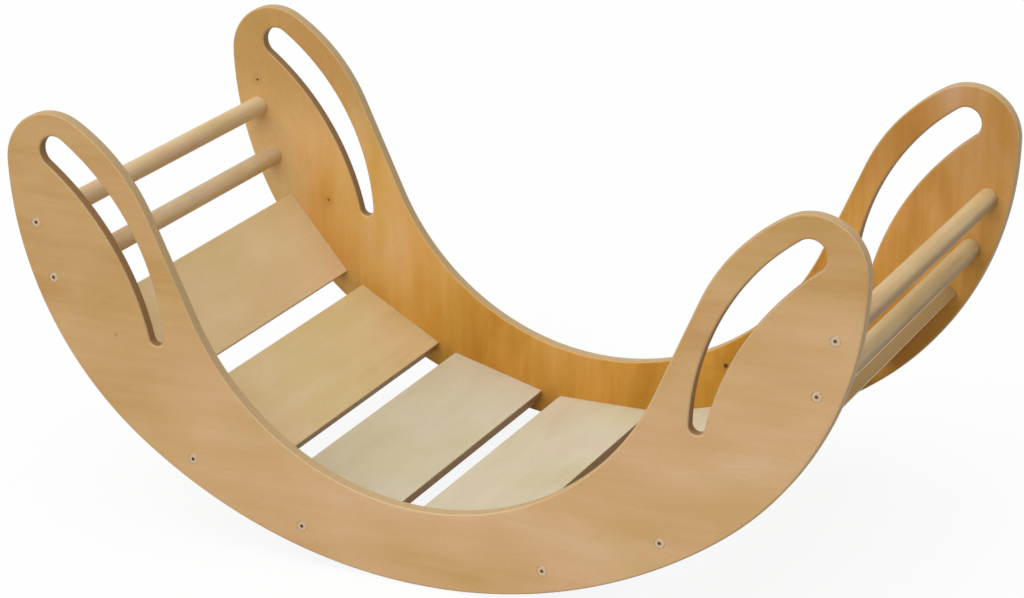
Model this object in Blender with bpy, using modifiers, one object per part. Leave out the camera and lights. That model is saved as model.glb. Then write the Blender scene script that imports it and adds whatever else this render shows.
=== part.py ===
"""A wooden climbing arch, lying on its curved edge as a rocker.

Two crescent plywood sides with long hand slots carry four round rungs and seven flat slats.
Countersunk socket screws hold the rungs and four of the slats. Hidden dowel pins locate every slat.
Metres, +Z up. X runs along the length and Y across the width. The origin is on the floor, under the
middle of the arch.
"""

from math import acos, asin, atan2, ceil, cos, pi, radians, sin, sqrt

import bmesh
import bpy
from mathutils import Matrix, Vector

# Driving dimensions of the whole arch
WIDTH = 0.540
SIDE_PLY = 0.015
SLAT_PLY = 0.015
GAP = 0.0003

# Outline of a side, half of it, from the middle of the floor edge round to the middle of the cradle
REST_FLAT = 0.020
OUTER_RADIUS = 0.617
OUTER_SWEEP = radians(36.5)
SHOULDER_RADIUS = 0.413
SHOULDER_SWEEP = radians(53.2)
LOBE_RADIUS = 0.063
HANDLE_RADIUS = 0.235
HANDLE_SWEEP = radians(35.4)
HANDLE_SLOPE = radians(65.6)
SIDE_DEPTH = 0.0957
EDGE_ROUND = 0.003

# Hand slot: a wide round end inside the lobe, a narrow one low down, and a curve along each side
GRIP = 0.028
SLOT_TOP_RADIUS = 0.0188
SLOT_TOP_ANGLE = radians(100.7)
SLOT_TIP_RADIUS = 0.0091
SLOT_TIP_ANGLE = radians(64.7)
SLOT_TIP_INSET = 0.0582
SLOT_GRIP_RADIUS = 0.292
SLOT_BODY_RADIUS = 0.345

# Rungs, placed along the outer edge from the end of the shoulder downwards
RUNG_DIAMETER = 0.025
RUNG_COVER = 0.0155
RUNG_DROP = 0.0795
RUNG_PITCH = 0.0740

# Slats share the outer edge between the two lower rungs. The end ones are a little narrower and
# stand a little further out.
SLATS = 7
SLAT_SPACING = 0.028
RUNG_TO_SLAT = 0.063
END_SLAT_SHIFT = 0.0025
END_SLAT_TRIM = 0.0028
SLAT_COVER = 0.0200
SLAT_EDGE = 0.0015

# Countersunk screws with a hexagon socket
SCREW_HEAD = 0.012
SCREW_RIM = 0.0004
SCREW_SHANK = 0.006
SCREW_LENGTH = 0.060
SCREW_POINT = 0.004
SOCKET_SIZE = 0.004
SOCKET_DEPTH = 0.0024

# Dowel pins between the slats and the sides
PIN_DIAMETER = 0.008
PIN_LENGTH = 0.030
PIN_SKIN = 0.006
PIN_MARGIN = 0.018

# Fineness of the facets, and how the mesh is made
ARC_SAG = 0.0002
EDGE_STEPS = 1
SLAT_EDGE_STEPS = 2
RUNG_FACETS = 32
SCREW_FACETS = 16
PIN_FACETS = 8
CREASE = radians(50)
WELD = 0.00001
CUT_PAST = 0.001

# Sizes that follow
SIDE_FACE = WIDTH / 2 - SIDE_PLY
PIECE_LENGTH = 2 * (SIDE_FACE - GAP)
PIN_END = WIDTH / 2 - PIN_SKIN - GAP
SLAT_INSET = SLAT_COVER + SLAT_PLY / 2
RUNG_INSET = RUNG_COVER + RUNG_DIAMETER / 2
OUTER_LENGTH = OUTER_RADIUS * OUTER_SWEEP
SHOULDER_LENGTH = SHOULDER_RADIUS * SHOULDER_SWEEP
UPPER_RUNG = OUTER_LENGTH + SHOULDER_LENGTH - RUNG_DROP
LOWER_RUNG = UPPER_RUNG - RUNG_PITCH
SLAT_SHARE = (2 * (LOWER_RUNG - RUNG_TO_SLAT) - (SLATS - 1) * SLAT_SPACING) / SLATS
SLAT_PITCH = SLAT_SHARE + SLAT_SPACING
SLAT_WIDTH = SLAT_SHARE * (1 - SLAT_INSET / OUTER_RADIUS)
PIN_OFFSET = SLAT_WIDTH / 2 - PIN_MARGIN
END_SLATS = (0, SLATS - 1)
MIDDLE_SLAT = SLATS // 2
FRONT, BACK = -1, 1


def on_circle(centre, radius, heading):
    """The point where an anticlockwise circle runs in the direction heading."""
    return Vector((centre.x + radius * sin(heading), centre.y - radius * cos(heading)))


def arc(centre, radius, start, end):
    """Points along a circle from one heading to another, without the first."""
    step = 2 * acos(1 - ARC_SAG / radius)
    count = max(3, ceil(abs(end - start) / step))
    turns = [start + (end - start) * i / count for i in range(1, count + 1)]
    return [on_circle(centre, radius, turn) for turn in turns]


def next_centre(centre, radius, heading, next_radius):
    """The centre of an arc that carries on smoothly where another has reached heading."""
    return on_circle(centre, radius - next_radius, heading)


# Centres of the outline's arcs in the plane of a side, with x along the arch and y up, and the
# headings at which one arc passes into the next
REST_HEADING = asin(REST_FLAT / 2 / OUTER_RADIUS)
SHOULDER_END = OUTER_SWEEP + SHOULDER_SWEEP
HANDLE_END = pi + HANDLE_SLOPE
HANDLE_START = HANDLE_END - HANDLE_SWEEP
OUTER_CENTRE = Vector((0, OUTER_RADIUS * cos(REST_HEADING)))
SHOULDER_CENTRE = next_centre(OUTER_CENTRE, OUTER_RADIUS, OUTER_SWEEP, SHOULDER_RADIUS)
LOBE_CENTRE = next_centre(SHOULDER_CENTRE, SHOULDER_RADIUS, SHOULDER_END, LOBE_RADIUS)
HANDLE_CENTRE = next_centre(LOBE_CENTRE, LOBE_RADIUS, HANDLE_START, HANDLE_RADIUS)


def cradle_circle():
    """The circle that the straight under the handle touches, with SIDE_DEPTH of wood below it."""
    start = on_circle(HANDLE_CENTRE, HANDLE_RADIUS, HANDLE_END)
    reach = start.x * sin(HANDLE_SLOPE) - (start.y - SIDE_DEPTH) * cos(HANDLE_SLOPE)
    radius = reach / (1 - cos(HANDLE_SLOPE))
    return Vector((0, SIDE_DEPTH + radius)), radius


CRADLE_CENTRE, CRADLE_RADIUS = cradle_circle()


def mirrored(points):
    return [Vector((-point.x, point.y)) for point in reversed(points)]


def side_outline():
    """The closed outline of a side, anticlockwise from the right end of the floor flat."""
    right = [Vector((REST_FLAT / 2, 0))]
    right += arc(OUTER_CENTRE, OUTER_RADIUS, REST_HEADING, OUTER_SWEEP)
    right += arc(SHOULDER_CENTRE, SHOULDER_RADIUS, OUTER_SWEEP, SHOULDER_END)
    right += arc(LOBE_CENTRE, LOBE_RADIUS, SHOULDER_END, HANDLE_START)
    right += arc(HANDLE_CENTRE, HANDLE_RADIUS, HANDLE_START, HANDLE_END)
    right.append(on_circle(CRADLE_CENTRE, CRADLE_RADIUS, HANDLE_SLOPE))
    right += arc(CRADLE_CENTRE, CRADLE_RADIUS, HANDLE_SLOPE, 0)
    return right + mirrored(right[:-1])


def heading_from(centre, point):
    """The heading on the circle about centre that passes point, between 0 and a full turn."""
    return (atan2(point.y - centre.y, point.x - centre.x) + pi / 2) % (2 * pi)


def bulge_centre(top, to_top, tip, to_tip):
    """The point on the body's side of a slot at given distances from the centres of its round ends."""
    along = tip - top
    foot = (to_top**2 - to_tip**2 + along.length_squared) / (2 * along.length)
    along.normalize()
    across = Vector((-along.y, along.x))
    return top + foot * along + sqrt(to_top**2 - foot**2) * across


def slot_outline():
    """The right-hand slot: up its handle side, round the top, down its body side, round the tip."""
    inward = LOBE_RADIUS - GRIP - SLOT_TOP_RADIUS
    top = LOBE_CENTRE + inward * Vector((cos(SLOT_TOP_ANGLE), sin(SLOT_TOP_ANGLE)))
    tip = on_circle(CRADLE_CENTRE, CRADLE_RADIUS + SLOT_TIP_INSET, SLOT_TIP_ANGLE)
    grip = bulge_centre(
        top, SLOT_GRIP_RADIUS - SLOT_TOP_RADIUS, tip, SLOT_GRIP_RADIUS - SLOT_TIP_RADIUS
    )
    body = bulge_centre(
        top, SLOT_BODY_RADIUS + SLOT_TOP_RADIUS, tip, SLOT_BODY_RADIUS + SLOT_TIP_RADIUS
    )
    grip_top, grip_tip = heading_from(grip, top), heading_from(grip, tip)
    body_top, body_tip = heading_from(body, top), heading_from(body, tip)
    points = arc(grip, SLOT_GRIP_RADIUS, grip_tip, grip_top)
    points += arc(top, SLOT_TOP_RADIUS, grip_top, body_top - pi)
    points += arc(body, SLOT_BODY_RADIUS, body_top, body_tip)
    points += arc(tip, SLOT_TIP_RADIUS, body_tip + pi, grip_tip)
    return points


def edge_place(length):
    """Point and heading of the outer edge at a length along it from the middle, negative to the left."""
    reach = abs(length)
    if reach <= OUTER_LENGTH:
        heading = reach / OUTER_RADIUS
        point = on_circle(OUTER_CENTRE, OUTER_RADIUS, heading)
    else:
        heading = OUTER_SWEEP + (reach - OUTER_LENGTH) / SHOULDER_RADIUS
        point = on_circle(SHOULDER_CENTRE, SHOULDER_RADIUS, heading)
    if length < 0:
        return Vector((-point.x, point.y)), -heading
    return point, heading


def slat_spot(i):
    """Length along the outer edge of the middle of slat i, counted from 0 at the left end."""
    spot = (i - (SLATS - 1) / 2) * SLAT_PITCH
    if i in END_SLATS:
        spot += END_SLAT_SHIFT if spot > 0 else -END_SLAT_SHIFT
    return spot


def cross_place(length, inset):
    """Where a piece across the arch lies: X along the edge, Y across and Z towards the cradle."""
    point, heading = edge_place(length)
    point = point + inset * Vector((-sin(heading), cos(heading)))
    return Matrix.Translation((point.x, 0, point.y)) @ Matrix.Rotation(-heading, 4, "Y")


def end_place(end, reach, along=0.0):
    """A spot in the frame of a cross piece, at reach from the middle of the arch, with Z outward."""
    turn = Matrix.Rotation(-end * pi / 2, 4, "X")
    return Matrix.Translation((along, end * reach, 0)) @ turn


SCREW_SPOTS = {end: [end_place(end, WIDTH / 2)] for end in (FRONT, BACK)}
PIN_SPOTS = {
    end: [end_place(end, PIN_END, along) for along in (-PIN_OFFSET, PIN_OFFSET)]
    for end in (FRONT, BACK)
}


def new_collection(name):
    made = bpy.data.collections.new(name)
    bpy.context.scene.collection.children.link(made)
    return made


def new_material(name, colour, roughness, metallic=0.0):
    made = bpy.data.materials.new(name)
    made.use_nodes = True
    shader = made.node_tree.nodes["Principled BSDF"]
    shader.inputs["Base Color"].default_value = (*colour, 1.0)
    shader.inputs["Roughness"].default_value = roughness
    shader.inputs["Metallic"].default_value = metallic
    return made


def new_object(name, data, collection):
    made = bpy.data.objects.new(name, data)
    collection.objects.link(made)
    return made


def bmesh_object(name, bm, collection):
    mesh = bpy.data.meshes.new(name)
    bm.to_mesh(mesh)
    bm.free()
    return new_object(name, mesh, collection)


def bake(obj, material=None):
    """The shape of an object as a mesh, with loose caps welded. The object is removed."""
    bpy.context.view_layer.update()
    graph = bpy.context.evaluated_depsgraph_get()
    mesh = bpy.data.meshes.new_from_object(obj.evaluated_get(graph))
    bpy.data.objects.remove(obj, do_unlink=True)
    bm = bmesh.new()
    bm.from_mesh(mesh)
    bmesh.ops.remove_doubles(bm, verts=bm.verts, dist=WELD)
    bm.to_mesh(mesh)
    bm.free()
    mesh.materials.clear()
    if material:
        mesh.materials.append(material)
    mesh.shade_smooth()
    mesh.set_sharp_from_angle(angle=CREASE)
    return mesh


def stamp(bm, mesh, place):
    """Adds a copy of a mesh at a place."""
    moved = mesh.copy()
    moved.transform(place)
    bm.from_mesh(moved)
    bpy.data.meshes.remove(moved)


def cut(obj, cutter):
    cutter.hide_render = True
    cutter.display_type = "WIRE"
    holes = obj.modifiers.new("holes", "BOOLEAN")
    holes.operation = "DIFFERENCE"
    holes.object = cutter


def add_rod(bm, length, diameter, facets, clearance=0.0):
    """A closed cylinder down from the origin along Z, or the space that it takes with a clearance."""
    bmesh.ops.create_cone(
        bm,
        cap_ends=True,
        segments=facets,
        radius1=diameter / 2 + clearance,
        radius2=diameter / 2 + clearance,
        depth=length + 2 * clearance,
        matrix=Matrix.Translation((0, 0, -length / 2)),
    )


def screw_profile(clearance=0.0, above=0.0):
    """Half the section of a screw, or of its hole with a clearance, from the top of the axis down."""
    head = SCREW_HEAD / 2 + clearance
    shank = SCREW_SHANK / 2 + clearance
    seat = SCREW_RIM + clearance * (sqrt(2) - 1)
    tip = SCREW_LENGTH + clearance
    return [
        (0, above),
        (head, above),
        (head, -seat),
        (shank, -seat - (head - shank)),
        (shank, -tip + SCREW_POINT),
        (0, -tip),
    ]


def turned(name, profile, collection):
    """An object made by turning a profile about Z."""
    mesh = bpy.data.meshes.new(name)
    edges = [(i, i + 1) for i in range(len(profile) - 1)]
    mesh.from_pydata([(radius, 0, height) for radius, height in profile], edges, [])
    made = new_object(name, mesh, collection)
    spin = made.modifiers.new("spin", "SCREW")
    spin.steps = SCREW_FACETS
    spin.render_steps = SCREW_FACETS
    spin.use_merge_vertices = True
    spin.merge_threshold = WELD
    return made


def screw_mesh(material, cutters):
    socket = bmesh.new()
    bmesh.ops.create_cone(
        socket,
        cap_ends=True,
        segments=6,
        radius1=SOCKET_SIZE / sqrt(3),
        radius2=SOCKET_SIZE / sqrt(3),
        depth=SOCKET_DEPTH + CUT_PAST,
        matrix=Matrix.Translation((0, 0, (CUT_PAST - SOCKET_DEPTH) / 2)),
    )
    screw = turned("screw", screw_profile(), cutters)
    cutter = bmesh_object("socket", socket, cutters)
    cut(screw, cutter)
    mesh = bake(screw, material)
    bpy.data.objects.remove(cutter, do_unlink=True)
    return mesh


def pin_mesh(material, cutters, clearance=0.0):
    pin = bmesh.new()
    add_rod(pin, PIN_LENGTH, PIN_DIAMETER, PIN_FACETS, clearance)
    return bake(bmesh_object("pin", pin, cutters), material)


def holed_mesh(blank, holes, material, cutters):
    """A cross piece with fastener holes in both ends. holes are pairs of a hole and its spots."""
    drills = bmesh.new()
    for hole, spots in holes:
        for spot in spots[FRONT] + spots[BACK]:
            stamp(drills, hole, spot)
    cutter = bmesh_object("drills", drills, cutters)
    piece = bmesh_object("blank", blank, cutters)
    cut(piece, cutter)
    mesh = bake(piece, material)
    bpy.data.objects.remove(cutter, do_unlink=True)
    return mesh


def rung_blank():
    """A round rung with its middle at the origin, along Y."""
    rung = bmesh.new()
    add_rod(rung, PIECE_LENGTH, RUNG_DIAMETER, RUNG_FACETS)
    bmesh.ops.transform(rung, matrix=end_place(BACK, PIECE_LENGTH / 2), verts=rung.verts)
    return rung


def slat_blank(width):
    """A flat slat with its middle at the origin, along Y, and its four long edges rounded."""
    slat = bmesh.new()
    bmesh.ops.create_cube(slat, size=1.0)
    bmesh.ops.scale(slat, vec=(width, PIECE_LENGTH, SLAT_PLY), verts=slat.verts)
    ends = [edge for edge in slat.edges if edge.calc_length() > width + SLAT_PLY]
    bmesh.ops.bevel(
        slat,
        geom=ends,
        offset=SLAT_EDGE,
        segments=SLAT_EDGE_STEPS,
        profile=0.5,
        affect="EDGES",
    )
    return slat


def side_curve():
    """A side lying in the XY plane: its outline and two slots, with rounded edges."""
    curve = bpy.data.curves.new("side", "CURVE")
    curve.dimensions = "2D"
    curve.fill_mode = "BOTH"
    curve.extrude = SIDE_PLY / 2 - EDGE_ROUND
    curve.bevel_depth = EDGE_ROUND
    curve.bevel_resolution = EDGE_STEPS
    curve.offset = -EDGE_ROUND
    slot = slot_outline()
    for outline in (side_outline(), slot, mirrored(slot)):
        spline = curve.splines.new("POLY")
        spline.points.add(len(outline) - 1)
        for point, spot in zip(spline.points, outline):
            point.co = (spot.x, spot.y, 0, 1)
        spline.use_cyclic_u = True
    return curve


def add_side(name, end, mesh, drilling, parts, cutters):
    """A side at one end of the cross pieces. drilling lists a hole, its spots and its pieces' places."""
    upright = Matrix.Rotation(pi / 2, 4, "X")
    side = new_object(name, mesh, parts)
    side.matrix_world = Matrix.Translation((0, end * (SIDE_FACE + SIDE_PLY / 2), 0)) @ upright
    drills = bmesh.new()
    for hole, spots, places in drilling:
        for place in places:
            for spot in spots[end]:
                stamp(drills, hole, place @ spot)
    cut(side, bmesh_object(name + "_drills", drills, cutters))


def build():
    for obj in list(bpy.data.objects):
        bpy.data.objects.remove(obj, do_unlink=True)
    parts = new_collection("climbing_arch")
    cutters = new_collection("cutters")

    side_ply = new_material("side_plywood", (0.57, 0.34, 0.155), 0.45)
    slat_ply = new_material("slat_plywood", (0.66, 0.50, 0.32), 0.50)
    rung_wood = new_material("rung_wood", (0.68, 0.50, 0.31), 0.50)
    pin_wood = new_material("pin_wood", (0.66, 0.47, 0.28), 0.60)
    steel = new_material("screw_steel", (0.72, 0.70, 0.69), 0.30, 1.0)

    screw = screw_mesh(steel, cutters)
    pin = pin_mesh(pin_wood, cutters)
    screw_hole = bake(turned("screw_hole", screw_profile(GAP, CUT_PAST), cutters))
    pin_hole = pin_mesh(None, cutters, GAP)

    screwed = (screw_hole, SCREW_SPOTS)
    pinned = (pin_hole, PIN_SPOTS)
    rung = holed_mesh(rung_blank(), [screwed], rung_wood, cutters)
    end_slat = holed_mesh(slat_blank(SLAT_WIDTH - END_SLAT_TRIM), [pinned], slat_ply, cutters)
    plain_slat = holed_mesh(slat_blank(SLAT_WIDTH), [pinned], slat_ply, cutters)
    screwed_slat = holed_mesh(slat_blank(SLAT_WIDTH), [screwed, pinned], slat_ply, cutters)

    rungs = {
        "rung_left_upper": cross_place(-UPPER_RUNG, RUNG_INSET),
        "rung_left_lower": cross_place(-LOWER_RUNG, RUNG_INSET),
        "rung_right_lower": cross_place(LOWER_RUNG, RUNG_INSET),
        "rung_right_upper": cross_place(UPPER_RUNG, RUNG_INSET),
    }
    slats = {}
    screws = dict(rungs)
    slat_meshes = {}
    for i in range(SLATS):
        name = f"slat_{i + 1}"
        slats[name] = cross_place(slat_spot(i), SLAT_INSET)
        if i in END_SLATS:
            slat_meshes[name] = end_slat
        elif i == MIDDLE_SLAT:
            slat_meshes[name] = plain_slat
        else:
            slat_meshes[name] = screwed_slat
            screws[name] = slats[name]

    for name, place in rungs.items():
        new_object(name, rung, parts).matrix_world = place
    for name, place in slats.items():
        new_object(name, slat_meshes[name], parts).matrix_world = place

    side_mesh = bake(new_object("side", side_curve(), cutters), side_ply)
    drilling = [(*screwed, screws.values()), (*pinned, slats.values())]
    for label, end in (("front", FRONT), ("back", BACK)):
        add_side(f"side_{label}", end, side_mesh, drilling, parts, cutters)
        for name, place in screws.items():
            for spot in SCREW_SPOTS[end]:
                fastener = new_object(f"screw_{label}_{name}", screw, parts)
                fastener.matrix_world = place @ spot
        for name, place in slats.items():
            for letter, spot in zip("ab", PIN_SPOTS[end]):
                fastener = new_object(f"pin_{label}_{name}_{letter}", pin, parts)
                fastener.matrix_world = place @ spot

    arch = new_object("arch", None, parts)
    bpy.context.view_layer.update()
    for obj in parts.objects:
        if obj is not arch:
            obj.parent = arch


build()
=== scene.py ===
"""The looks of the climbing arch: birch plywood, round rungs and zinc screws, in a white studio.

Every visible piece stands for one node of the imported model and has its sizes. Metres, +Z up.
"""

from collections import namedtuple
from math import acos, asin, atan2, ceil, cos, pi, radians, sin, sqrt

import bmesh
import bpy
from mathutils import Matrix, Quaternion, Vector


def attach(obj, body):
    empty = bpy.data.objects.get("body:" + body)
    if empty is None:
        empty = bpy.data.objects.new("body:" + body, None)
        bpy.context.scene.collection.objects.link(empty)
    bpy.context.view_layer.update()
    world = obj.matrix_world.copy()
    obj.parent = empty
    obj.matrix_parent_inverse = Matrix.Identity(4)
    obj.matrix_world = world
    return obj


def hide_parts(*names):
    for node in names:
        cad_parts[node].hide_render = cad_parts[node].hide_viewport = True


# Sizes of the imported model
WIDTH = 0.540
SIDE_PLY = 0.015
SLAT_PLY = 0.015
GAP = 0.0003
REST_FLAT = 0.020
OUTER_RADIUS = 0.617
OUTER_SWEEP = radians(36.5)
SHOULDER_RADIUS = 0.413
SHOULDER_SWEEP = radians(53.2)
LOBE_RADIUS = 0.063
HANDLE_RADIUS = 0.235
HANDLE_SWEEP = radians(35.4)
HANDLE_SLOPE = radians(65.6)
SIDE_DEPTH = 0.0957
EDGE_ROUND = 0.003
GRIP = 0.028
SLOT_TOP_RADIUS = 0.0188
SLOT_TOP_ANGLE = radians(100.7)
SLOT_TIP_RADIUS = 0.0091
SLOT_TIP_ANGLE = radians(64.7)
SLOT_TIP_INSET = 0.0582
SLOT_GRIP_RADIUS = 0.292
SLOT_BODY_RADIUS = 0.345
RUNG_DIAMETER = 0.025
RUNG_COVER = 0.0155
RUNG_DROP = 0.0795
RUNG_PITCH = 0.0740
SLATS = 7
SLAT_SPACING = 0.028
RUNG_TO_SLAT = 0.063
END_SLAT_SHIFT = 0.0025
END_SLAT_TRIM = 0.0028
SLAT_COVER = 0.0200
SLAT_EDGE = 0.0015
SCREW_HEAD = 0.012
SCREW_RIM = 0.0004
SCREW_SHANK = 0.006
SCREW_LENGTH = 0.060
SCREW_POINT = 0.004
SOCKET_SIZE = 0.004
SOCKET_DEPTH = 0.0024
PIN_DIAMETER = 0.008
PIN_LENGTH = 0.030
PIN_SKIN = 0.006
PIN_MARGIN = 0.018

# Fineness of the visible meshes
ARC_SAG = 0.00002
EDGE_STEPS = 4
SLAT_EDGE_STEPS = 4
RUNG_FACETS = 96
SCREW_FACETS = 64
PIN_FACETS = 32
CREASE = radians(40)
WELD = 0.00001
CUT_PAST = 0.001
HEAD_CHAMFER = 0.00015

# Sizes that follow
SIDE_FACE = WIDTH / 2 - SIDE_PLY
PIECE_LENGTH = 2 * (SIDE_FACE - GAP)
PIN_END = WIDTH / 2 - PIN_SKIN - GAP
SLAT_INSET = SLAT_COVER + SLAT_PLY / 2
RUNG_INSET = RUNG_COVER + RUNG_DIAMETER / 2
OUTER_LENGTH = OUTER_RADIUS * OUTER_SWEEP
SHOULDER_LENGTH = SHOULDER_RADIUS * SHOULDER_SWEEP
UPPER_RUNG = OUTER_LENGTH + SHOULDER_LENGTH - RUNG_DROP
LOWER_RUNG = UPPER_RUNG - RUNG_PITCH
SLAT_SHARE = (2 * (LOWER_RUNG - RUNG_TO_SLAT) - (SLATS - 1) * SLAT_SPACING) / SLATS
SLAT_PITCH = SLAT_SHARE + SLAT_SPACING
SLAT_WIDTH = SLAT_SHARE * (1 - SLAT_INSET / OUTER_RADIUS)
PIN_OFFSET = SLAT_WIDTH / 2 - PIN_MARGIN
END_SLATS = (0, SLATS - 1)
MIDDLE_SLAT = SLATS // 2
FRONT, BACK = -1, 1

# The camera, at the photograph's viewing angle
CAMERA_AT = (1.5519, -3.2203, 1.5600)
CAMERA_AIM = (-0.0465, 0.0791, 0.2298)
CAMERA_ROLL = radians(0.85)
CAMERA_LENS = 111.6
CAMERA_SENSOR = 36.0

# Light. To the camera the floor is FLOOR_GREY with a FLOOR_GLOW share of plain white over it, and
# it lights the arch as if it were FLOOR_BOUNCE grey.
SKY_LEVEL = 0.56
KEY_FROM = (-0.22, -0.50, 1.0)
KEY_LEVEL = 2.20
KEY_SPREAD = radians(75)
BACKDROP_LEVEL = 1.0
FLOOR_SIZE = 60.0
FLOOR_DROP = 0.0002
FLOOR_GREY = 0.80
FLOOR_BOUNCE = 0.50
FLOOR_GLOW = 0.90

# Layers of noise: spots in a metre across the grain, detail, roughness, how far the spots are drawn
# out along the grain, and what is added to a piece's seed
Layer = namedtuple("Layer", "spots detail roughness stretch shift")
CLOUDS = Layer(6, 3.0, 0.55, 2.0, 0)
FLAMES = Layer(16, 2.0, 0.5, 5.0, 3)
STREAKS = Layer(90, 3.0, 0.55, 14.0, 5)
FIBRES = Layer(900, 2.0, 0.6, 40.0, 7)
PORES = Layer(2200, 1.0, 0.5, 18.0, 9)
GROWTH = Layer(55, 2.0, 0.5, 16.0, 11)
HUES = Layer(11, 2.0, 0.5, 1.7, 13)
SPECKLE = Layer(420, 2.0, 0.6, 1.0, 0)
MOTTLE = Layer(900, 3.0, 0.6, 1.0, 0)

# Weights of the layers in the tone and in the relief of a birch face
CLOUD_TONE = 0.80
STREAK_TONE = 0.20
FLAME_TONE = 0.35
WAVE_TONE = 0.012
FIBRE_TONE = 0.06
FIBRE_RELIEF = 0.6
STREAK_RELIEF = 0.4
PORE_RELIEF = -0.5

# In what follows, a span is the two values between which a mark sets in, and a share is how much
# of the mark's colour then shows.

# Figure of a birch face. A knot is darkest within its size / KNOT_CORE, and the halo of swollen
# grain round it ends at KNOT_REACH times its size.
TONE_SPAN = (0.30, 0.70)
CURL_OFF_STREAKS = 0.12
CURL_OFF_STRETCH = 3.0
FLAME_WAVES = 95.0
LINE_SPAN = (0.80, 1.0)
LINE_SHARE = 0.10
PORE_SPAN = (0.66, 0.74)
PORE_SHARE = 0.16
ROSY_SPAN = (0.50, 0.68)
OLIVE_SPAN = (0.50, 0.32)
KNOT_CORE = 3
KNOT_REACH = 5
KNOT_SWELL = 0.12
HALO_SHARE = 0.12
KNOT_SHARE = 0.92

# Plywood edges, with the face veneer's span in plies from the surface
PLIES = 11
GLUE_LINE = 0.10
GLUE_SHARE = 0.45
SPECKLE_SPAN = (0.45, 0.70)
SPECKLE_SHARE = 0.22
VENEER_SPAN = (0.7, 0.15)

# Surface of the wood
WOOD_GLOSS = 0.10
WOOD_ROUGHNESS = 0.42
WOOD_ROUGHNESS_SPREAD = 0.16
RELIEF_STRENGTH = 0.5
RELIEF_HEIGHT = 0.0001

# Sides: drift of the outer tone along the arch, into the lobes and everywhere, and of the inner one
# along the arch, upwards and everywhere. A knot is listed with its X and Y in the plane of the
# side, and its size.
OUTER_DRIFT = (0.05, -0.19, 0.02)
LOBE_SPAN = (0.10, 0.50)
INNER_DRIFT = (0.35, 0.7, -0.20)
INNER_CURL = 0.5
DULL_END_SPAN = (-0.22, -0.46)
TOP_SHADE_SPAN = (0.31, 0.45)
# Painted shade on the flat of the slots' walls: how far past them its mask reaches, and its share
WALL_MARGIN = 0.0032
SLOT_SHADE_SHARE = 0.70
SIDE_SEEDS = {FRONT: 3.0, BACK: 9.0}
INNER_SEED_SHIFT = 20
OUTER_KNOTS = {FRONT: [(-0.397, 0.251, 0.0011)], BACK: []}
INNER_KNOTS = {
    FRONT: [],
    BACK: [(0.4985, 0.413, 0.0024), (0.398, 0.2595, 0.0024), (-0.1664, 0.1122, 0.0046)],
}

# Slats, rungs and pins. The aim given below is the X and Z of the way that the painted shade on a
# rung's low side faces.
SLAT_FIGURE = 0.7
# Share of the brown over the slats' edges, partly painted shade
SLAT_EDGE_SHADE_SHARE = 0.6
SLAT_SEED, SLAT_SEED_STEP = 60.0, 3.7
RUNG_SEED, RUNG_SEED_STEP = 40.0, 2.3
PIN_SEED = 90.0
RING_WAVES = 46.0
RING_SPAN = (0.1, 1.0)
RING_SHARE = 0.18
# Painted shade on the right rungs' low outer side, where shade falls: its aim, span and share
SHADE_SIDE_AIM = (-0.6, -0.8)
SHADE_SIDE_SPAN = (0.001, 0.009)
RIGHT_PAINTED_SHADE_SHARE = 0.5

# Steel, and the grime and painted shade in the sockets: deeper than the depth below, and nearer the
# axis than the reach below times SOCKET_SIZE
STEEL_ROUGHNESS = 0.26
STEEL_ROUGHNESS_SPREAD = 0.22
MOTTLE_SHARE = 0.5
GRIME_AND_SHADE_DEPTH = 0.0003
GRIME_AND_SHADE_REACH = 0.6
GRIME_AND_SHADE_SHARE = 0.75
LATHE_WAVES = 24000.0
LATHE_STRENGTH = 0.25
LATHE_HEIGHT = 0.00002


def on_circle(centre, radius, heading):
    """The point where an anticlockwise circle runs in the direction heading."""
    return Vector((centre.x + radius * sin(heading), centre.y - radius * cos(heading)))


def arc(centre, radius, start, end):
    """Points along a circle from one heading to another, without the first."""
    step = 2 * acos(1 - ARC_SAG / radius)
    count = max(3, ceil(abs(end - start) / step))
    turns = [start + (end - start) * i / count for i in range(1, count + 1)]
    return [on_circle(centre, radius, turn) for turn in turns]


def next_centre(centre, radius, heading, next_radius):
    """The centre of an arc that carries on smoothly where another has reached heading."""
    return on_circle(centre, radius - next_radius, heading)


# Centres of the outline's arcs and the headings at which one arc passes into the next
REST_HEADING = asin(REST_FLAT / 2 / OUTER_RADIUS)
SHOULDER_END = OUTER_SWEEP + SHOULDER_SWEEP
HANDLE_END = pi + HANDLE_SLOPE
HANDLE_START = HANDLE_END - HANDLE_SWEEP
OUTER_CENTRE = Vector((0, OUTER_RADIUS * cos(REST_HEADING)))
SHOULDER_CENTRE = next_centre(OUTER_CENTRE, OUTER_RADIUS, OUTER_SWEEP, SHOULDER_RADIUS)
LOBE_CENTRE = next_centre(SHOULDER_CENTRE, SHOULDER_RADIUS, SHOULDER_END, LOBE_RADIUS)
HANDLE_CENTRE = next_centre(LOBE_CENTRE, LOBE_RADIUS, HANDLE_START, HANDLE_RADIUS)


def cradle_circle():
    """The circle that the straight under the handle touches, with SIDE_DEPTH of wood below it."""
    start = on_circle(HANDLE_CENTRE, HANDLE_RADIUS, HANDLE_END)
    reach = start.x * sin(HANDLE_SLOPE) - (start.y - SIDE_DEPTH) * cos(HANDLE_SLOPE)
    radius = reach / (1 - cos(HANDLE_SLOPE))
    return Vector((0, SIDE_DEPTH + radius)), radius


CRADLE_CENTRE, CRADLE_RADIUS = cradle_circle()


def mirrored(points):
    return [Vector((-point.x, point.y)) for point in reversed(points)]


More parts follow.
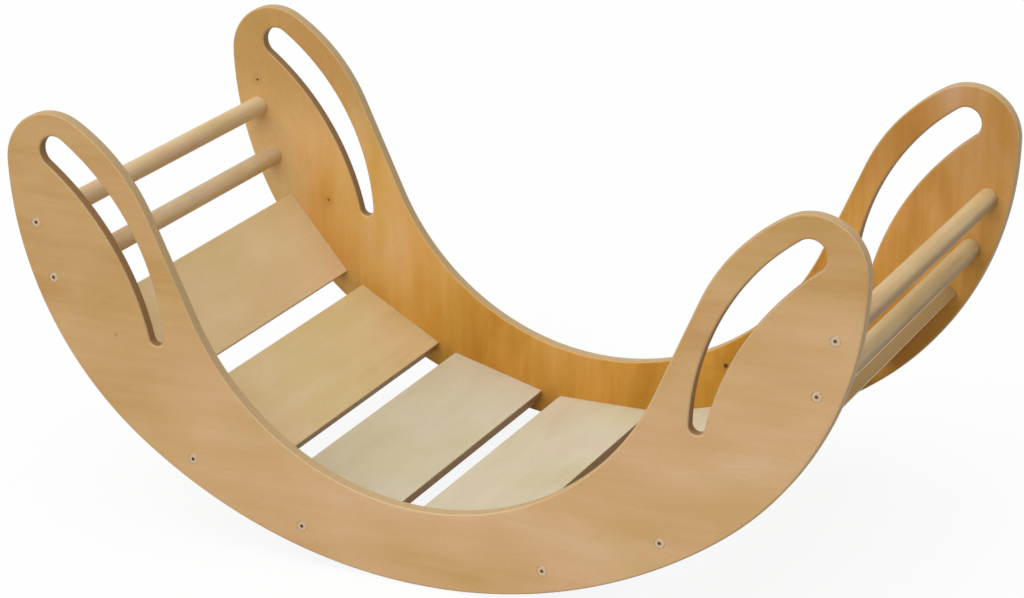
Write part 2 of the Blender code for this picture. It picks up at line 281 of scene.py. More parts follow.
def side_outline():
    """The closed outline of a side, anticlockwise from the right end of the floor flat."""
    right = [Vector((REST_FLAT / 2, 0))]
    right += arc(OUTER_CENTRE, OUTER_RADIUS, REST_HEADING, OUTER_SWEEP)
    right += arc(SHOULDER_CENTRE, SHOULDER_RADIUS, OUTER_SWEEP, SHOULDER_END)
    right += arc(LOBE_CENTRE, LOBE_RADIUS, SHOULDER_END, HANDLE_START)
    right += arc(HANDLE_CENTRE, HANDLE_RADIUS, HANDLE_START, HANDLE_END)
    right.append(on_circle(CRADLE_CENTRE, CRADLE_RADIUS, HANDLE_SLOPE))
    right += arc(CRADLE_CENTRE, CRADLE_RADIUS, HANDLE_SLOPE, 0)
    return right + mirrored(right[:-1])


def heading_from(centre, point):
    """The heading on the circle about centre that passes point, between 0 and a full turn."""
    return (atan2(point.y - centre.y, point.x - centre.x) + pi / 2) % (2 * pi)


def bulge_centre(top, to_top, tip, to_tip):
    """The point beside a slot, on the body's side, at set distances from its round ends' centres."""
    along = tip - top
    foot = (to_top**2 - to_tip**2 + along.length_squared) / (2 * along.length)
    along.normalize()
    across = Vector((-along.y, along.x))
    return top + foot * along + sqrt(to_top**2 - foot**2) * across


def slot_circles():
    """The centres of the right-hand slot's round top and tip, its handle side and its body side."""
    inward = LOBE_RADIUS - GRIP - SLOT_TOP_RADIUS
    top = LOBE_CENTRE + inward * Vector((cos(SLOT_TOP_ANGLE), sin(SLOT_TOP_ANGLE)))
    tip = on_circle(CRADLE_CENTRE, CRADLE_RADIUS + SLOT_TIP_INSET, SLOT_TIP_ANGLE)
    grip = bulge_centre(
        top, SLOT_GRIP_RADIUS - SLOT_TOP_RADIUS, tip, SLOT_GRIP_RADIUS - SLOT_TIP_RADIUS
    )
    body = bulge_centre(
        top, SLOT_BODY_RADIUS + SLOT_TOP_RADIUS, tip, SLOT_BODY_RADIUS + SLOT_TIP_RADIUS
    )
    return top, tip, grip, body


def slot_outline():
    """The right-hand slot: up its handle side, round the top, down its body side, round the tip."""
    top, tip, grip, body = slot_circles()
    grip_top, grip_tip = heading_from(grip, top), heading_from(grip, tip)
    body_top, body_tip = heading_from(body, top), heading_from(body, tip)
    points = arc(grip, SLOT_GRIP_RADIUS, grip_tip, grip_top)
    points += arc(top, SLOT_TOP_RADIUS, grip_top, body_top - pi)
    points += arc(body, SLOT_BODY_RADIUS, body_top, body_tip)
    points += arc(tip, SLOT_TIP_RADIUS, body_tip + pi, grip_tip)
    return points


def edge_place(length):
    """Point and heading of the outer edge at a length from its middle, negative to the left."""
    reach = abs(length)
    if reach <= OUTER_LENGTH:
        heading = reach / OUTER_RADIUS
        point = on_circle(OUTER_CENTRE, OUTER_RADIUS, heading)
    else:
        heading = OUTER_SWEEP + (reach - OUTER_LENGTH) / SHOULDER_RADIUS
        point = on_circle(SHOULDER_CENTRE, SHOULDER_RADIUS, heading)
    if length < 0:
        return Vector((-point.x, point.y)), -heading
    return point, heading


def slat_spot(i):
    """Length along the outer edge of the middle of slat i, counted from 0 at the left end."""
    spot = (i - (SLATS - 1) / 2) * SLAT_PITCH
    if i in END_SLATS:
        spot += END_SLAT_SHIFT if spot > 0 else -END_SLAT_SHIFT
    return spot


def cross_place(length, inset):
    """Where a piece across the arch lies: X along the edge, Y across and Z towards the cradle."""
    point, heading = edge_place(length)
    point = point + inset * Vector((-sin(heading), cos(heading)))
    return Matrix.Translation((point.x, 0, point.y)) @ Matrix.Rotation(-heading, 4, "Y")


def end_place(end, reach, along=0.0):
    """A spot in the frame of a cross piece, at reach from the arch's middle, with Z outward."""
    turn = Matrix.Rotation(-end * pi / 2, 4, "X")
    return Matrix.Translation((along, end * reach, 0)) @ turn


SCREW_SPOTS = {end: [end_place(end, WIDTH / 2)] for end in (FRONT, BACK)}
PIN_SPOTS = {
    end: [end_place(end, PIN_END, along) for along in (-PIN_OFFSET, PIN_OFFSET)]
    for end in (FRONT, BACK)
}


def srgb(red, green, blue):
    """A colour as a picture stores it, 0 to 255, in the linear values that shaders take."""
    levels = [value / 255 for value in (red, green, blue)]
    linear = [v / 12.92 if v <= 0.04045 else ((v + 0.055) / 1.055) ** 2.4 for v in levels]
    return (*linear, 1.0)


# Colours. The tones of a face run from its darkest wood to its palest.
OUTER_TONES = (srgb(197, 155, 98), srgb(207, 167, 115), srgb(214, 176, 130), srgb(221, 186, 146))
INNER_TONES = (srgb(188, 133, 48), srgb(210, 156, 70), srgb(222, 175, 100), srgb(228, 188, 128))
WARM_SLAT = (srgb(206, 176, 123), srgb(217, 189, 139), srgb(224, 197, 152), srgb(231, 207, 171))
GOLD_SLAT = (srgb(193, 164, 109), srgb(207, 182, 132), srgb(213, 190, 147), srgb(219, 199, 162))
PALE_SLAT = (srgb(188, 173, 141), srgb(197, 185, 158), srgb(203, 194, 170), srgb(210, 203, 185))
SLAT_TONES = (WARM_SLAT, GOLD_SLAT, PALE_SLAT, PALE_SLAT, PALE_SLAT, WARM_SLAT, GOLD_SLAT)
LEFT_RUNG = (srgb(189, 158, 112), srgb(202, 174, 130), srgb(210, 184, 144), srgb(219, 197, 161))
# The right rungs' tones are more saturated: partly painted warm bounce light in their shade
RIGHT_RUNG_WITH_BOUNCE = (srgb(178, 145, 97), srgb(192, 163, 116), srgb(201, 174, 130), srgb(209, 186, 146))
# Painted shade for the right rungs' low side
RUNG_PAINTED_SHADE = srgb(96, 62, 22)
PIN_TONES = (srgb(190, 160, 112), srgb(202, 174, 130), srgb(210, 184, 144), srgb(218, 196, 160))
LONG_PLY = srgb(197, 172, 131)
CROSS_PLY = srgb(176, 147, 103)
# A darker brown over the slats' edges: partly their tone, partly painted shade for the edges seen in
# the gaps
SLAT_EDGE_BROWN_AND_SHADE = srgb(162, 128, 76)
GLUE = srgb(146, 112, 76)
# Painted shade on the slots' walls
SLOT_WALL_SHADE = srgb(134, 88, 34)
KNOT = srgb(78, 46, 22)
PORE = srgb(120, 84, 48)
STEEL = srgb(212, 186, 156)
DULL_STEEL = srgb(178, 148, 114)
SOCKET_GRIME_AND_SHADE = srgb(126, 92, 60)

# Linear multipliers on a colour
ROSY = srgb(255, 250, 251)
OLIVE = srgb(251, 252, 243)
TOP_SHADE = (0.74, 0.67, 0.54, 1.0)
DULL_END = (1.08, 1.13, 1.88, 1.0)


def grey(level):
    return (level, level, level, 1)


def node(tree, kind, inputs, **settings):
    """Adds a node and gives its first output. inputs maps sockets to values or to other outputs."""
    made = tree.nodes.new(kind)
    for name, value in settings.items():
        setattr(made, name, value)
    for name, value in inputs.items():
        if isinstance(value, bpy.types.NodeSocket):
            tree.links.new(value, made.inputs[name])
        else:
            made.inputs[name].default_value = value
    return made.outputs[0] if made.outputs else None


def math(tree, operation, *values):
    return node(tree, "ShaderNodeMath", dict(enumerate(values)), operation=operation)


def chained(tree, operation, values):
    """One operation over all the values, from the first on."""
    total = values[0]
    for value in values[1:]:
        total = math(tree, operation, total, value)
    return total


def mix(tree, share, first, second, blend="MIX"):
    """The first colour with a share of the second over it, or of both blended in another way."""
    mixed = node(
        tree,
        "ShaderNodeMix",
        {0: share, 6: first, 7: second},
        data_type="RGBA",
        blend_type=blend,
    )
    return mixed.node.outputs[2]


def tinted(tree, mark, share, colour, tint):
    """A colour with a share of another over it where mark is 1."""
    return mix(tree, math(tree, "MULTIPLY", mark, share), colour, tint)


def ramp(tree, value, colours, low, high):
    """Colours spread evenly over the values from low to high."""
    made = node(tree, "ShaderNodeValToRGB", {"Fac": value}).node
    elements = made.color_ramp.elements
    while len(elements) < len(colours):
        elements.new(0.5)
    for i, colour in enumerate(colours):
        elements[i].position = low + (high - low) * i / (len(colours) - 1)
        elements[i].color = colour
    return made.outputs[0]


def step(tree, value, low, high):
    """0 up to low, 1 from high on and smooth between. low can be the higher of the two."""
    return node(
        tree,
        "ShaderNodeMapRange",
        {"Value": value, "From Min": low, "From Max": high},
        interpolation_type="SMOOTHSTEP",
    )


def noise(tree, where, layer, seed=0.0):
    """A layer of noise, drawn out along Y."""
    seed += layer.shift
    spot = node(
        tree,
        "ShaderNodeMapping",
        {"Vector": where, "Scale": (1, 1 / layer.stretch, 1), "Location": (seed, seed / 2, -seed)},
    )
    return node(
        tree,
        "ShaderNodeTexNoise",
        {
            "Vector": spot,
            "Scale": layer.spots,
            "Detail": layer.detail,
            "Roughness": layer.roughness,
        },
    )


def parts_of(tree, where):
    """The X, Y and Z of coordinates."""
    return node(tree, "ShaderNodeSeparateXYZ", {"Vector": where}).node.outputs


def flattened(tree, where):
    """The coordinates with Z at 0."""
    return node(tree, "ShaderNodeVectorMath", {0: where, 1: (1, 1, 0)}, operation="MULTIPLY")


def distance(tree, where, spot):
    measured = node(tree, "ShaderNodeVectorMath", {0: where, 1: spot}, operation="DISTANCE")
    return measured.node.outputs["Value"]


def weighted(tree, terms):
    """The sum of value * weight over terms."""
    total = None
    for value, weight in terms:
        if total is None:
            total = math(tree, "MULTIPLY", value, weight)
        else:
            total = math(tree, "MULTIPLY_ADD", value, weight, total)
    return total


def knot_marks(tree, where, knots):
    """Two marks: the knots' dark cores, and the halos of grain that swells round them."""
    cores, halos = [], []
    for x, y, size in knots:
        away = distance(tree, flattened(tree, where), (x, y, 0))
        cores.append(step(tree, away, size, size / KNOT_CORE))
        halos.append(step(tree, away, size * KNOT_REACH, size))
    return chained(tree, "MAXIMUM", cores), chained(tree, "MAXIMUM", halos)


def birch(tree, where, tones, seed, knots=(), drift=None, figure=1.0, curl=0.0):
    """Colour and relief of a sliced birch face, with the grain along Y.

    figure is how strong its pattern is, and curl how far that leaves straight streaks for flames.
    """
    clouds = noise(tree, where, CLOUDS, seed)
    curled = FLAMES._replace(stretch=FLAMES.stretch - CURL_OFF_STRETCH * curl)
    flames = noise(tree, where, curled, seed)
    streaks = noise(tree, where, STREAKS, seed)
    fibres = noise(tree, where, FIBRES, seed)
    pores = step(tree, noise(tree, where, PORES, seed), *PORE_SPAN)
    contour = flames
    if knots:
        cores, halos = knot_marks(tree, where, knots)
        contour = math(tree, "MULTIPLY_ADD", halos, KNOT_SWELL, flames)
    waves = math(tree, "SINE", math(tree, "MULTIPLY", contour, FLAME_WAVES))

    streak_tone = STREAK_TONE - CURL_OFF_STREAKS * curl
    terms = [
        (clouds, CLOUD_TONE),
        (streaks, streak_tone),
        (flames, FLAME_TONE),
        (waves, WAVE_TONE),
        (fibres, FIBRE_TONE),
    ]
    tone = weighted(tree, [(value, weight * figure) for value, weight in terms])
    middle = figure * (CLOUD_TONE + streak_tone + FLAME_TONE + FIBRE_TONE) / 2
    tone = math(tree, "SUBTRACT", tone, middle - 0.5)
    if drift is not None:
        tone = math(tree, "ADD", tone, drift)

    colour = ramp(tree, tone, tones, *TONE_SPAN)
    hue = noise(tree, where, HUES, seed)
    colour = mix(tree, step(tree, hue, *ROSY_SPAN), colour, ROSY, "MULTIPLY")
    colour = mix(tree, step(tree, hue, *OLIVE_SPAN), colour, OLIVE, "MULTIPLY")
    colour = tinted(tree, step(tree, waves, *LINE_SPAN), LINE_SHARE, colour, tones[0])
    colour = tinted(tree, pores, PORE_SHARE, colour, PORE)
    if knots:
        colour = tinted(tree, halos, HALO_SHARE, colour, PORE)
        colour = tinted(tree, cores, KNOT_SHARE, colour, KNOT)
    relief = weighted(
        tree, [(fibres, FIBRE_RELIEF), (streaks, STREAK_RELIEF), (pores, PORE_RELIEF)]
    )
    return colour, relief


def ply_edge(tree, depth, where, thickness):
    """Colour of a plywood edge and the share of the face veneer's colour over it.

    depth is the distance from the middle of the thickness.
    """
    layer = math(tree, "MULTIPLY_ADD", depth, PLIES / thickness, PLIES / 2)
    crossed = math(tree, "MODULO", math(tree, "FLOOR", layer), 2.0)
    colour = mix(tree, crossed, LONG_PLY, CROSS_PLY)
    speckle = step(tree, noise(tree, where, SPECKLE), *SPECKLE_SPAN)
    colour = tinted(tree, speckle, SPECKLE_SHARE, colour, GLUE)
    glued = math(tree, "LESS_THAN", math(tree, "FRACT", layer), GLUE_LINE)
    colour = tinted(tree, glued, GLUE_SHARE, colour, GLUE)
    veneer = [thickness * (0.5 - plies / PLIES) for plies in VENEER_SPAN]
    return colour, step(tree, math(tree, "ABSOLUTE", depth), *veneer)


def shader(name, metallic=0.0):
    """A material with only its surface shader, and the coordinates of the piece itself."""
    made = bpy.data.materials.new(name)
    made.use_nodes = True
    tree = made.node_tree
    surface = tree.nodes["Principled BSDF"]
    surface.inputs["Metallic"].default_value = metallic
    where = tree.nodes.new("ShaderNodeTexCoord").outputs["Object"]
    return made, tree, surface, where


def finish(tree, surface, colour, roughness, relief, strength, height):
    """Connects a colour, a roughness and a relief to a surface shader."""
    tree.links.new(colour, surface.inputs["Base Color"])
    tree.links.new(roughness, surface.inputs["Roughness"])
    bump = node(
        tree,
        "ShaderNodeBump",
        {"Height": relief, "Strength": strength, "Distance": height},
    )
    tree.links.new(bump, surface.inputs["Normal"])


def finish_wood(tree, surface, colour, relief):
    surface.inputs["Specular IOR Level"].default_value = WOOD_GLOSS
    roughness = math(tree, "MULTIPLY_ADD", relief, WOOD_ROUGHNESS_SPREAD, WOOD_ROUGHNESS)
    finish(tree, surface, colour, roughness, relief, RELIEF_STRENGTH, RELIEF_HEIGHT)


def turned_about(tree, where, angle):
    """The coordinates turned about Z."""
    return node(tree, "ShaderNodeMapping", {"Vector": where, "Rotation": (0, 0, angle)})


def slot_wall_shade_mask(tree, along, up, depth):
    """1 on the flat of the slots' walls, where shade is painted, and 0 elsewhere."""
    top, tip, grip, body = slot_circles()
    flat = node(tree, "ShaderNodeCombineXYZ", {0: math(tree, "ABSOLUTE", along), 1: up})

    def away(spot):
        return distance(tree, flat, (spot.x, spot.y, 0))

    half = (top - tip).length / 2 + SLOT_TOP_RADIUS + WALL_MARGIN
    rounding = (SIDE_PLY / 2 - EDGE_ROUND / 4, SIDE_PLY / 2 - EDGE_ROUND)
    marks = [
        math(tree, "LESS_THAN", away(grip), SLOT_GRIP_RADIUS + WALL_MARGIN),
        math(tree, "GREATER_THAN", away(body), SLOT_BODY_RADIUS - WALL_MARGIN),
        math(tree, "LESS_THAN", away((top + tip) / 2), half),
        step(tree, math(tree, "ABSOLUTE", depth), *rounding),
    ]
    return chained(tree, "MULTIPLY", marks)


def side_material(name, seed, outer_knots, inner_knots):
    """Plywood with the outer face's grain along the arch and the inner face's grain upright."""
    made, tree, surface, where = shader(name)
    along, up, depth = parts_of(tree, where)
    lobe = step(tree, up, *LOBE_SPAN)
    outer_drift = weighted(tree, zip((along, lobe, 1.0), OUTER_DRIFT))
    inner_drift = weighted(tree, zip((along, up, 1.0), INNER_DRIFT))
    level = turned_about(tree, where, pi / 2)
    turned_knots = [(-y, x, size) for x, y, size in outer_knots]
    outer, outer_relief = birch(tree, level, OUTER_TONES, seed, turned_knots, outer_drift)
    inner_seed = seed + INNER_SEED_SHIFT
    inner, inner_relief = birch(
        tree, where, INNER_TONES, inner_seed, inner_knots, inner_drift, curl=INNER_CURL
    )
    inner = mix(tree, step(tree, along, *DULL_END_SPAN), inner, DULL_END, "MULTIPLY")
    inner = mix(tree, step(tree, up, *TOP_SHADE_SPAN), inner, TOP_SHADE, "MULTIPLY")
    outward = math(tree, "GREATER_THAN", depth, 0.0)
    colour = mix(tree, outward, inner, outer)
    relief = node(tree, "ShaderNodeMix", {0: outward, 2: inner_relief, 3: outer_relief})
    edge, face = ply_edge(tree, depth, where, SIDE_PLY)
    # Painted shade on the flat of the slots' walls
    edge = tinted(tree, slot_wall_shade_mask(tree, along, up, depth), SLOT_SHADE_SHARE, edge, SLOT_WALL_SHADE)
    finish_wood(tree, surface, mix(tree, face, edge, colour), relief)
    return made


def slat_material(name, tones, seed):
    made, tree, surface, where = shader(name)
    depth = parts_of(tree, where)["Z"]
    colour, relief = birch(tree, where, tones, seed, figure=SLAT_FIGURE)
    edge, face = ply_edge(tree, depth, where, SLAT_PLY)
    # Partly painted shade on the slats' edges
    edge = mix(tree, SLAT_EDGE_SHADE_SHARE, edge, SLAT_EDGE_BROWN_AND_SHADE)
    finish_wood(tree, surface, mix(tree, face, edge, colour), relief)
    return made


def rod_material(name, tones, seed, painted_shade_share=0.0):
    """Solid wood with its growth rings along Y, and a share of painted shade on its low side."""
    made, tree, surface, where = shader(name)
    colour, relief = birch(tree, where, tones, seed)
    waves = math(tree, "MULTIPLY", noise(tree, where, GROWTH, seed), RING_WAVES)
    rings = step(tree, math(tree, "SINE", waves), *RING_SPAN)
    colour = tinted(tree, rings, RING_SHARE, colour, tones[0])
    parts = parts_of(tree, where)
    # Painted shade on the rung's low side
    low = weighted(tree, zip((parts["X"], parts["Z"]), SHADE_SIDE_AIM))
    colour = tinted(tree, step(tree, low, *SHADE_SIDE_SPAN), painted_shade_share, colour, RUNG_PAINTED_SHADE)
    finish_wood(tree, surface, colour, relief)
    return made


def steel_material():
    """Zinc-coated steel with the rings that the lathe left, and grime with painted shade in the
    sockets.
    """
    made, tree, surface, where = shader("zinc_steel", 1.0)
    flat = flattened(tree, where)
    radius = node(tree, "ShaderNodeVectorMath", {0: flat}, operation="LENGTH").node.outputs["Value"]
    mottle = noise(tree, where, MOTTLE)
    colour = tinted(tree, mottle, MOTTLE_SHARE, STEEL, DULL_STEEL)
    deep = math(tree, "LESS_THAN", parts_of(tree, where)["Z"], -GRIME_AND_SHADE_DEPTH)
    near_axis = math(tree, "LESS_THAN", radius, SOCKET_SIZE * GRIME_AND_SHADE_REACH)
    in_socket = math(tree, "MULTIPLY", deep, near_axis)
    # Grime and painted shade in the socket
    colour = tinted(tree, in_socket, GRIME_AND_SHADE_SHARE, colour, SOCKET_GRIME_AND_SHADE)
    roughness = math(tree, "MULTIPLY_ADD", mottle, STEEL_ROUGHNESS_SPREAD, STEEL_ROUGHNESS)
    rings = math(tree, "SINE", math(tree, "MULTIPLY", radius, LATHE_WAVES))
    finish(tree, surface, colour, roughness, rings, LATHE_STRENGTH, LATHE_HEIGHT)
    return made


def new_object(name, data):
    made = bpy.data.objects.new(name, data)
    bpy.context.scene.collection.objects.link(made)
    return made


def bmesh_object(name, bm):
    mesh = bpy.data.meshes.new(name)
    bm.to_mesh(mesh)
    bm.free()
    return new_object(name, mesh)


def bake(obj):
    """The shape of an object as a smooth mesh with sharp creases. The object is removed."""
    bpy.context.view_layer.update()
    graph = bpy.context.evaluated_depsgraph_get()
    mesh = bpy.data.meshes.new_from_object(obj.evaluated_get(graph))
    bpy.data.objects.remove(obj, do_unlink=True)
    bm = bmesh.new()
    bm.from_mesh(mesh)
    bmesh.ops.remove_doubles(bm, verts=bm.verts, dist=WELD)
    bm.to_mesh(mesh)
    bm.free()
    mesh.materials.clear()
    mesh.shade_smooth()
    mesh.set_sharp_from_angle(angle=CREASE)
    return mesh


def stamp(bm, mesh, place):
    """Adds a copy of a mesh at a place."""
    moved = mesh.copy()
    moved.transform(place)
    bm.from_mesh(moved)
    bpy.data.meshes.remove(moved)


def cut(piece, cutter):
    """The mesh of a piece with a cutter taken out. Both objects are removed."""
    holes = piece.modifiers.new("holes", "BOOLEAN")
    holes.operation = "DIFFERENCE"
    holes.object = cutter
    mesh = bake(piece)
    bpy.data.objects.remove(cutter, do_unlink=True)
    return mesh


def add_rod(bm, length, diameter, facets, clearance=0.0):
    """A closed cylinder down from the origin along Z, or its space with a clearance."""
    bmesh.ops.create_cone(
        bm,
        cap_ends=True,
        segments=facets,
        radius1=diameter / 2 + clearance,
        radius2=diameter / 2 + clearance,
        depth=length + 2 * clearance,
        matrix=Matrix.Translation((0, 0, -length / 2)),
    )


def screw_profile(clearance=0.0, above=0.0):
    """Half a screw's section, or its hole's with a clearance, from the top of the axis down."""
    head = SCREW_HEAD / 2 + clearance
    shank = SCREW_SHANK / 2 + clearance
    seat = SCREW_RIM + clearance * (sqrt(2) - 1)
    tip = SCREW_LENGTH + clearance
    return [
        (0, above),
        (head, above),
        (head, -seat),
        (shank, -seat - (head - shank)),
        (shank, -tip + SCREW_POINT),
        (0, -tip),
    ]


def turned(name, profile):
    """An object made by turning a profile about Z."""
    mesh = bpy.data.meshes.new(name)
    edges = [(i, i + 1) for i in range(len(profile) - 1)]
    mesh.from_pydata([(radius, 0, height) for radius, height in profile], edges, [])
    made = new_object(name, mesh)
    spin = made.modifiers.new("spin", "SCREW")
    spin.steps = SCREW_FACETS
    spin.render_steps = SCREW_FACETS
    spin.use_merge_vertices = True
    spin.merge_threshold = WELD
    return made


def screw_mesh():
    """A countersunk screw with a small chamfer round its head and a hexagon socket."""
    profile = screw_profile()
    head = profile[1][0]
    profile[1:2] = [(head - HEAD_CHAMFER, 0), (head, -HEAD_CHAMFER)]
    socket = bmesh.new()
    across = SOCKET_SIZE / sqrt(3)
    bmesh.ops.create_cone(
        socket,
        cap_ends=True,
        segments=6,
        radius1=across,
        radius2=across,
        depth=SOCKET_DEPTH + CUT_PAST,
        matrix=Matrix.Translation((0, 0, (CUT_PAST - SOCKET_DEPTH) / 2)),
    )
    return cut(turned("screw", profile), bmesh_object("socket", socket))


def pin_hole():
    hole = bmesh.new()
    add_rod(hole, PIN_LENGTH, PIN_DIAMETER, PIN_FACETS, GAP)
    return bake(bmesh_object("pin_hole", hole))


def drills(holes, ends=(FRONT, BACK)):
    """One cutter for all holes. holes lists a hole's mesh, its spots and its pieces' places."""
    cutter = bmesh.new()
    for hole, spots, places in holes:
        for place in places:
            for end in ends:
                for spot in spots[end]:
                    stamp(cutter, hole, place @ spot)
    return bmesh_object("drills", cutter)


def rung_blank():
    rung = bmesh.new()
    add_rod(rung, PIECE_LENGTH, RUNG_DIAMETER, RUNG_FACETS)
    bmesh.ops.transform(rung, matrix=end_place(BACK, PIECE_LENGTH / 2), verts=rung.verts)
    return bmesh_object("rung", rung)


def slat_blank(width):
    """A flat slat with its middle at the origin, along Y, and its four long edges rounded."""
    slat = bmesh.new()
    bmesh.ops.create_cube(slat, size=1.0)
    bmesh.ops.scale(slat, vec=(width, PIECE_LENGTH, SLAT_PLY), verts=slat.verts)
    long_edges = [edge for edge in slat.edges if edge.calc_length() > width + SLAT_PLY]
    bmesh.ops.bevel(
        slat,
        geom=long_edges,
        offset=SLAT_EDGE,
        segments=SLAT_EDGE_STEPS,
        profile=0.5,
        affect="EDGES",
    )
    return bmesh_object("slat", slat)


def side_blank():
    """A side lying in the XY plane: its outline and two slots, with rounded edges."""
    curve = bpy.data.curves.new("side", "CURVE")
    curve.dimensions = "2D"
    curve.fill_mode = "BOTH"
    curve.extrude = SIDE_PLY / 2 - EDGE_ROUND
    curve.bevel_depth = EDGE_ROUND
    curve.bevel_resolution = EDGE_STEPS
    curve.offset = -EDGE_ROUND
    slot = slot_outline()
    for outline in (side_outline(), slot, mirrored(slot)):
        spline = curve.splines.new("POLY")
        spline.points.add(len(outline) - 1)
        for point, spot in zip(spline.points, outline):
            point.co = (spot.x, spot.y, 0, 1)
        spline.use_cyclic_u = True
    return bake(new_object("side", curve))


def show(name, mesh, place, material, stands_for):
    """Puts a visible piece in its place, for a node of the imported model."""
    piece = new_object(name, mesh.copy())
    piece.data.materials.append(material)
    piece.matrix_world = place
    even = piece.modifiers.new("even_shading", "WEIGHTED_NORMAL")
    even.keep_sharp = True
    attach(piece, "root")
    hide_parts(stands_for)


def build_arch():
    screw_hole = bake(turned("screw_hole", screw_profile(GAP, CUT_PAST)))
    hidden_hole = pin_hole()
    screw = screw_mesh()

    here = [Matrix()]
    rung = cut(rung_blank(), drills([(screw_hole, SCREW_SPOTS, here)]))
    pinned = [(hidden_hole, PIN_SPOTS, here)]
    end_slat = cut(slat_blank(SLAT_WIDTH - END_SLAT_TRIM), drills(pinned))
    plain_slat = cut(slat_blank(SLAT_WIDTH), drills(pinned))
    screwed_slat = cut(
        slat_blank(SLAT_WIDTH), drills([(screw_hole, SCREW_SPOTS, here)] + pinned)
    )

    rungs = {
        "rung_left_upper": cross_place(-UPPER_RUNG, RUNG_INSET),
        "rung_left_lower": cross_place(-LOWER_RUNG, RUNG_INSET),
        "rung_right_lower": cross_place(LOWER_RUNG, RUNG_INSET),
        "rung_right_upper": cross_place(UPPER_RUNG, RUNG_INSET),
    }
    slats = {}
    slat_meshes = {}
    screwed = dict(rungs)
    for i in range(SLATS):
        name = f"slat_{i + 1}"
        slats[name] = cross_place(slat_spot(i), SLAT_INSET)
        if i in END_SLATS:
            slat_meshes[name] = end_slat
        elif i == MIDDLE_SLAT:
            slat_meshes[name] = plain_slat
        else:
            slat_meshes[name] = screwed_slat
            screwed[name] = slats[name]

    for i, (name, place) in enumerate(rungs.items()):
        left = "left" in name
        tones = LEFT_RUNG if left else RIGHT_RUNG_WITH_BOUNCE
        painted_shade_share = 0.0 if left else RIGHT_PAINTED_SHADE_SHARE
        seed = RUNG_SEED + RUNG_SEED_STEP * i
        material = rod_material(f"birch_{name}", tones, seed, painted_shade_share)
        show(f"birch_{name}", rung, place, material, name)
    for i, (name, place) in enumerate(slats.items()):
        seed = SLAT_SEED + SLAT_SEED_STEP * i
        material = slat_material(f"birch_{name}", SLAT_TONES[i], seed)
        show(f"birch_{name}", slat_meshes[name], place, material, name)

    blank = side_blank()
    holes = [
        (screw_hole, SCREW_SPOTS, screwed.values()),
        (hidden_hole, PIN_SPOTS, slats.values()),
    ]
    steel = steel_material()
    for label, end in (("front", FRONT), ("back", BACK)):
        upright = Matrix.Rotation(pi / 2, 4, "X")
        if end == BACK:
            upright = Matrix.Rotation(pi, 4, "Z") @ upright
        place = Matrix.Translation((0, end * (SIDE_FACE + SIDE_PLY / 2), 0)) @ upright
        side = new_object("side", blank.copy())
        side.matrix_world = place
        mesh = cut(side, drills(holes, (end,)))
        material = side_material(
            f"birch_side_{label}", SIDE_SEEDS[end], OUTER_KNOTS[end], INNER_KNOTS[end]
        )
        show(f"birch_side_{label}", mesh, place, material, f"side_{label}")
        for name, spot_place in screwed.items():
            for spot in SCREW_SPOTS[end]:
                screw_name = f"{label}_{name}"
                show(
                    f"zinc_screw_{screw_name}",
                    screw,
                    spot_place @ spot,
                    steel,
                    f"screw_{screw_name}",
                )

    pin_wood = rod_material("birch_pins", PIN_TONES, PIN_SEED)
    for name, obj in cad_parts.items():
        if name.startswith("pin_"):
            for slot in obj.material_slots:
                slot.material = pin_wood


def seen_directly(tree):
    """1 for camera, glossy and transmission rays, and 0 for those that only carry light."""
    path = tree.nodes.new("ShaderNodeLightPath").outputs
    rays = [path["Is Camera Ray"], path["Is Glossy Ray"], path["Is Transmission Ray"]]
    return chained(tree, "MAXIMUM", rays)


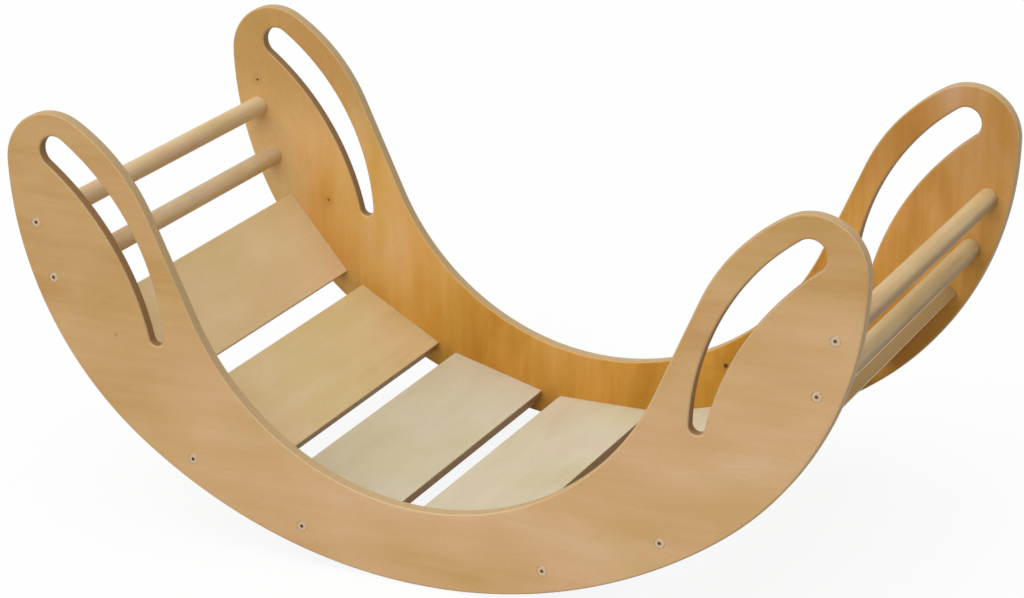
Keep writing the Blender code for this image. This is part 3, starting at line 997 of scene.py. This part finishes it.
def build_floor():
    """A white floor that keeps the arch's shadow, and throws back less light than it seems to."""
    bm = bmesh.new()
    bmesh.ops.create_grid(bm, x_segments=1, y_segments=1, size=FLOOR_SIZE / 2)
    floor = bmesh_object("floor", bm)
    floor.location.z = -FLOOR_DROP
    paint = bpy.data.materials.new("floor_white")
    paint.use_nodes = True
    tree = paint.node_tree
    tree.nodes.clear()
    matt = node(tree, "ShaderNodeBsdfDiffuse", {"Color": grey(FLOOR_GREY)})
    glow = node(tree, "ShaderNodeEmission", {"Color": grey(1), "Strength": BACKDROP_LEVEL})
    white = node(tree, "ShaderNodeMixShader", {0: FLOOR_GLOW, 1: matt, 2: glow})
    dimmer = node(tree, "ShaderNodeBsdfDiffuse", {"Color": grey(FLOOR_BOUNCE)})
    mixed = node(tree, "ShaderNodeMixShader", {0: seen_directly(tree), 1: dimmer, 2: white})
    node(tree, "ShaderNodeOutputMaterial", {"Surface": mixed})
    floor.data.materials.append(paint)


def build_light():
    """An even sky behind a white backdrop, and a broad key light from the upper left in front."""
    world = bpy.data.worlds.new("studio")
    bpy.context.scene.world = world
    world.use_nodes = True
    tree = world.node_tree
    tree.nodes.clear()
    sky = node(tree, "ShaderNodeBackground", {"Color": grey(1), "Strength": SKY_LEVEL})
    backdrop = node(tree, "ShaderNodeBackground", {"Color": grey(1), "Strength": BACKDROP_LEVEL})
    mixed = node(tree, "ShaderNodeMixShader", {0: seen_directly(tree), 1: sky, 2: backdrop})
    node(tree, "ShaderNodeOutputWorld", {"Surface": mixed})

    key = bpy.data.lights.new("key_light", "SUN")
    key.energy = KEY_LEVEL
    key.angle = KEY_SPREAD
    lamp = new_object("key_light", key)
    lamp.rotation_euler = Vector(KEY_FROM).to_track_quat("Z", "Y").to_euler()


def build_camera():
    data = bpy.data.cameras.new("camera")
    data.sensor_fit = "HORIZONTAL"
    data.sensor_width = CAMERA_SENSOR
    data.lens = CAMERA_LENS
    camera = new_object("camera", data)
    camera.location = CAMERA_AT
    aim = (Vector(CAMERA_AIM) - Vector(CAMERA_AT)).to_track_quat("-Z", "Y")
    camera.rotation_euler = (aim @ Quaternion((0, 0, 1), -CAMERA_ROLL)).to_euler()
    bpy.context.scene.camera = camera


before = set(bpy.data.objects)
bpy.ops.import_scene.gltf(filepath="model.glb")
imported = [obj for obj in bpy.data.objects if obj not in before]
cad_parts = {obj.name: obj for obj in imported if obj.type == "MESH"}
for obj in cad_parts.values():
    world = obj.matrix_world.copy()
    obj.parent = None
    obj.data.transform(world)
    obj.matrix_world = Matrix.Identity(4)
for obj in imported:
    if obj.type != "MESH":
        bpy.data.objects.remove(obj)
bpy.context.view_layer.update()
build_camera()
build_floor()
build_light()
build_arch()
bpy.context.scene.view_settings.view_transform = "Standard"
